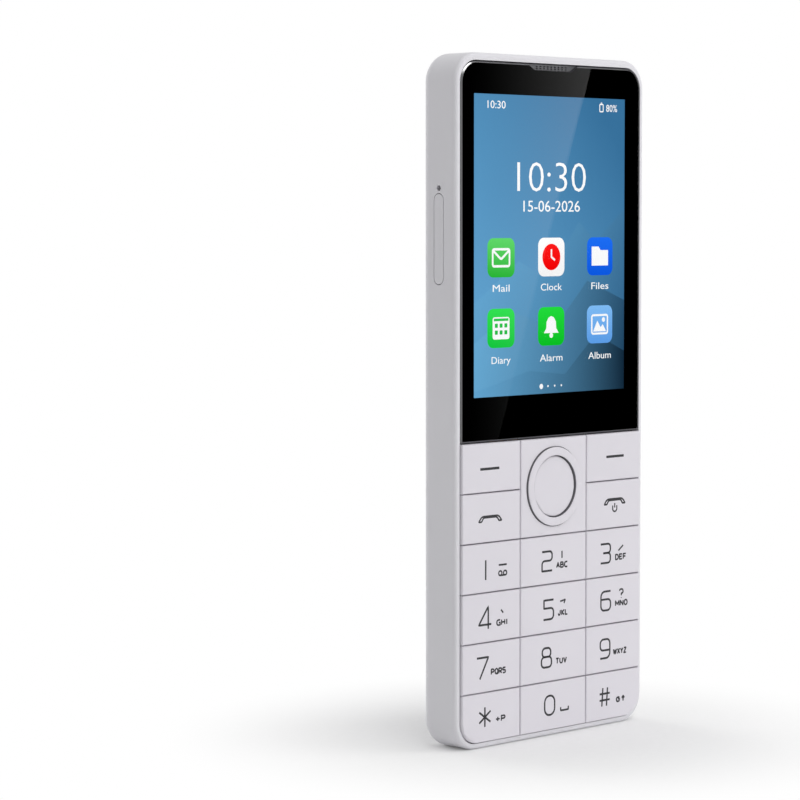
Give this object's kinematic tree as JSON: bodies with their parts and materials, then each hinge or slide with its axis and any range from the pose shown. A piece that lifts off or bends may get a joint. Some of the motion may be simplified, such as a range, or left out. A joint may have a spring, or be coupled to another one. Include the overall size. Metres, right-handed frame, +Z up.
{
  "type": "mobile phone",
  "caption": "Slim white bar phone with a cover glass over the display, a flat keypad with a navigation tile below it, and a SIM tray in the left side.",
  "frame": {"origin": "middle of the bottom end, on the surface it stands on", "axes": "+Z up along the phone, front faces -Y, +X to the right seen from the front"},
  "size_m": [0.0532, 0.0104, 0.131],
  "materials": {
    "shell": "fine satin moulded plastic",
    "keycap": "satin moulded plastic",
    "frame_black": "matt black moulding",
    "lens": "polished cover glass",
    "black_film": "black film",
    "screen": "lit picture",
    "light_guide": "clear light guide",
    "steel": "brushed sheet",
    "mesh": "dark woven mesh",
    "silicone": "translucent silicone",
    "film": "thin clear film",
    "board": "green solder mask",
    "flex": "amber flex",
    "cell": "dark wrapped cell",
    "tape": "white tape",
    "screw": "plated steel",
    "black_part": "black component"
  },
  "bodies": {
    "body": {"housing": "shell", "mid_frame": "frame_black", "cover_glass": "lens", "display_gasket": "black_film", "earpiece_mesh": "mesh", "display_panel": "screen", "backlight_unit": "light_guide", "display_shield": "steel", "display_flex": "flex", "earpiece_receiver": "black_part", "key_web": "silicone", "key_domes": "steel", "dome_film": "film", "key_board": "board", "key_flex": "flex", "sim_reader": "steel", "main_board": "board", "shield_cans": "steel", "vibration_motor": "steel", "antenna_carrier": "black_part", "board_screws": "screw", "frame_screws": "screw", "battery_tape": "tape", "battery": "cell", "battery_lead": "flex", "bottom_board": "board", "usb_port": "steel", "usb_tongue": "black_part", "microphone": "steel", "loudspeaker": "black_part", "speaker_mesh": "mesh", "link_flex": "flex"},
    "left_soft_key": {"left_soft_key": "keycap"},
    "right_soft_key": {"right_soft_key": "keycap"},
    "call_key": {"call_key": "keycap"},
    "end_key": {"end_key": "keycap"},
    "key_1": {"key_1": "keycap"},
    "key_2": {"key_2": "keycap"},
    "key_3": {"key_3": "keycap"},
    "key_4": {"key_4": "keycap"},
    "key_5": {"key_5": "keycap"},
    "key_6": {"key_6": "keycap"},
    "key_7": {"key_7": "keycap"},
    "key_8": {"key_8": "keycap"},
    "key_9": {"key_9": "keycap"},
    "key_star": {"key_star": "keycap"},
    "key_0": {"key_0": "keycap"},
    "key_hash": {"key_hash": "keycap"},
    "ok_key": {"ok_key": "keycap"},
    "nav_pad": {"nav_pad": "keycap"},
    "nav_rocker": {"nav_rocker": "silicone"},
    "sim_tray": {"sim_tray": "shell"},
    "eject_rod": {"eject_rod": "steel"},
    "eject_lever": {"eject_lever": "steel"}
  },
  "joints": [
    {"name": "left_soft_key_press", "type": "slide", "parent": "body", "child": "left_soft_key", "axis": [0, 1, 0], "range_m": [0, 0.00035], "stiffness_N_per_m": 3000},
    {"name": "right_soft_key_press", "type": "slide", "parent": "body", "child": "right_soft_key", "axis": [0, 1, 0], "range_m": [0, 0.00035], "stiffness_N_per_m": 3000},
    {"name": "call_key_press", "type": "slide", "parent": "body", "child": "call_key", "axis": [0, 1, 0], "range_m": [0, 0.00035], "stiffness_N_per_m": 3000},
    {"name": "end_key_press", "type": "slide", "parent": "body", "child": "end_key", "axis": [0, 1, 0], "range_m": [0, 0.00035], "stiffness_N_per_m": 3000},
    {"name": "key_1_press", "type": "slide", "parent": "body", "child": "key_1", "axis": [0, 1, 0], "range_m": [0, 0.00035], "stiffness_N_per_m": 3000},
    {"name": "key_2_press", "type": "slide", "parent": "body", "child": "key_2", "axis": [0, 1, 0], "range_m": [0, 0.00035], "stiffness_N_per_m": 3000},
    {"name": "key_3_press", "type": "slide", "parent": "body", "child": "key_3", "axis": [0, 1, 0], "range_m": [0, 0.00035], "stiffness_N_per_m": 3000},
    {"name": "key_4_press", "type": "slide", "parent": "body", "child": "key_4", "axis": [0, 1, 0], "range_m": [0, 0.00035], "stiffness_N_per_m": 3000},
    {"name": "key_5_press", "type": "slide", "parent": "body", "child": "key_5", "axis": [0, 1, 0], "range_m": [0, 0.00035], "stiffness_N_per_m": 3000},
    {"name": "key_6_press", "type": "slide", "parent": "body", "child": "key_6", "axis": [0, 1, 0], "range_m": [0, 0.00035], "stiffness_N_per_m": 3000},
    {"name": "key_7_press", "type": "slide", "parent": "body", "child": "key_7", "axis": [0, 1, 0], "range_m": [0, 0.00035], "stiffness_N_per_m": 3000},
    {"name": "key_8_press", "type": "slide", "parent": "body", "child": "key_8", "axis": [0, 1, 0], "range_m": [0, 0.00035], "stiffness_N_per_m": 3000},
    {"name": "key_9_press", "type": "slide", "parent": "body", "child": "key_9", "axis": [0, 1, 0], "range_m": [0, 0.00035], "stiffness_N_per_m": 3000},
    {"name": "key_star_press", "type": "slide", "parent": "body", "child": "key_star", "axis": [0, 1, 0], "range_m": [0, 0.00035], "stiffness_N_per_m": 3000},
    {"name": "key_0_press", "type": "slide", "parent": "body", "child": "key_0", "axis": [0, 1, 0], "range_m": [0, 0.00035], "stiffness_N_per_m": 3000},
    {"name": "key_hash_press", "type": "slide", "parent": "body", "child": "key_hash", "axis": [0, 1, 0], "range_m": [0, 0.00035], "stiffness_N_per_m": 3000},
    {"name": "ok_key_press", "type": "slide", "parent": "body", "child": "ok_key", "axis": [0, 1, 0], "range_m": [0, 0.00035], "stiffness_N_per_m": 3000},
    {"name": "nav_left_right", "type": "hinge", "parent": "body", "child": "nav_rocker", "pos_m": [0, -0.0031, 0.04855], "axis": [0, 0, 1], "range_deg": [-1.5, 1.5], "stiffness_Nm_per_rad": 0.2},
    {"name": "nav_up_down", "type": "hinge", "parent": "nav_rocker", "child": "nav_pad", "pos_m": [0, -0.0031, 0.04855], "axis": [1, 0, 0], "range_deg": [-1.5, 1.5], "stiffness_Nm_per_rad": 0.2},
    {"name": "sim_tray_slide", "type": "slide", "parent": "body", "child": "sim_tray", "axis": [-1, 0, 0], "range_m": [0, 0.0242]},
    {"name": "eject_rod_slide", "type": "slide", "parent": "body", "child": "eject_rod", "axis": [1, 0, 0], "range_m": [0, 0.001]},
    {"name": "eject_lever_turn", "type": "hinge", "parent": "body", "child": "eject_lever", "pos_m": [-0.0003, 0.0002, 0.1006], "axis": [0, 1, 0], "range_deg": [0, 11.2]}
  ],
  "couplings": [
    {"joint": "eject_lever_turn", "follows": "eject_rod_slide", "rad_per_m": 190}
  ]
}
